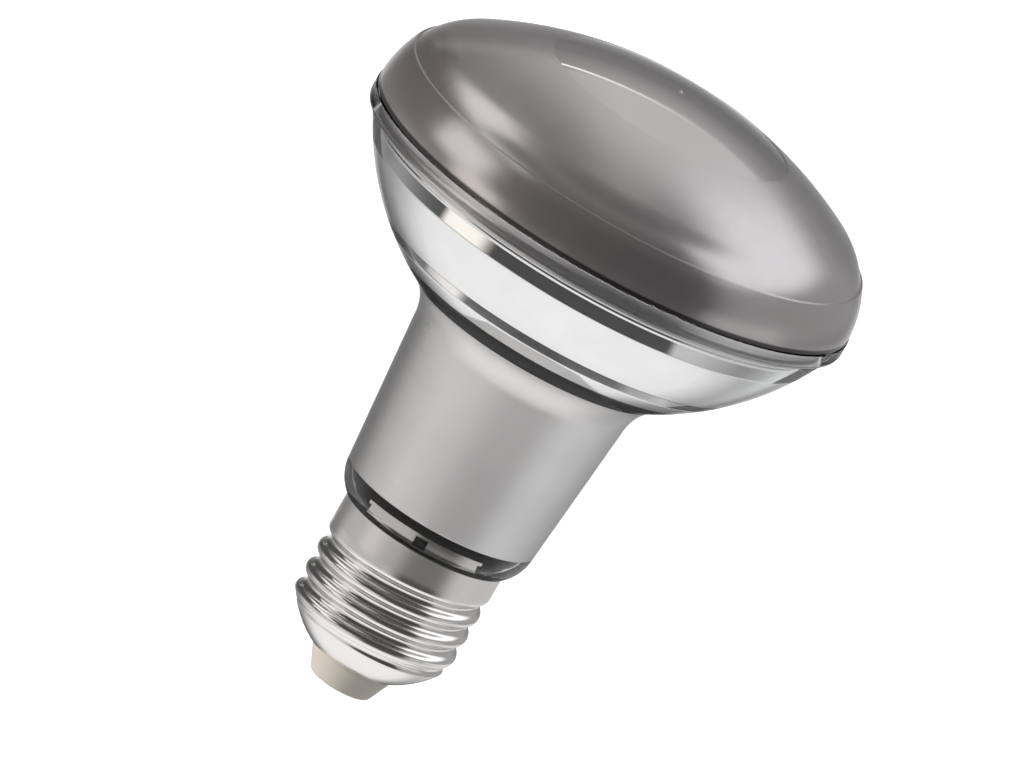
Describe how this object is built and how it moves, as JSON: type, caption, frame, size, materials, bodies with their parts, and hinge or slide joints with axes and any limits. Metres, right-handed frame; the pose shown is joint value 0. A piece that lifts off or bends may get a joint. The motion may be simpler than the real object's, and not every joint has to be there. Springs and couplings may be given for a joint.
{
  "type": "reflector bulb",
  "caption": "Reflector bulb with a clear body, frosted domed cover, mirrored bowl, satin sleeve and E27 screw cap, with its LED board and driver inside.",
  "frame": {"origin": "on the bulb's axis, at the end face of the centre contact", "axes": "+Z along the bulb's axis, from the screw cap to the domed cover; -Y is the side that the picture shows"},
  "size_m": [0.08, 0.08, 0.105],
  "materials": {
    "clear_glass": "clear, polished",
    "frosted_cover": "fine frost, satin grey",
    "clear_adhesive": "clear, glossy",
    "mirrored_bowl": "mirror polished",
    "black_ring": "moulded",
    "satin_sleeve": "satin",
    "spreader_aluminium": "turned",
    "white_board": "white solder mask",
    "led_phosphor": "phosphor filled",
    "screw_steel": "zinc plated",
    "dark_housing": "moulded",
    "clip_steel": "bright",
    "nickel_cap": "nickel plated, rolled",
    "beige_insulator": "moulded, matte",
    "contact_metal": "nickel plated",
    "circuit_board": "solder mask",
    "capacitor_can": "sleeved",
    "capacitor_box": "dipped",
    "ferrite": "ground",
    "copper_winding": "enamelled",
    "chip_plastic": "moulded",
    "resistor_ceramic": "lacquered",
    "brown_wire": "insulated",
    "blue_wire": "insulated",
    "red_wire": "insulated",
    "black_wire": "insulated"
  },
  "bodies": {
    "root": {"glass_body": "clear_glass", "front_cover": "frosted_cover", "cover_seal": "clear_adhesive", "reflector": "mirrored_bowl", "retaining_ring": "black_ring", "neck_sleeve": "satin_sleeve", "heat_spreader": "spreader_aluminium", "led_board": "white_board", "led_chips": "led_phosphor", "board_screws": "screw_steel", "driver_housing": "dark_housing", "foot_clip_front": "clip_steel", "foot_clip_back": "clip_steel", "cap_shell": "nickel_cap", "cap_insulator": "beige_insulator", "centre_contact": "contact_metal", "driver_board": "circuit_board", "electrolytic_capacitor": "capacitor_can", "film_capacitor": "capacitor_box", "inductor_core": "ferrite", "inductor_winding": "copper_winding", "bridge_rectifier": "chip_plastic", "driver_chip": "chip_plastic", "fuse_resistor": "resistor_ceramic", "chip_resistors": "resistor_ceramic", "live_wire": "brown_wire", "neutral_wire": "blue_wire", "led_wire_positive": "red_wire", "led_wire_negative": "black_wire"}
  },
  "joints": []
}
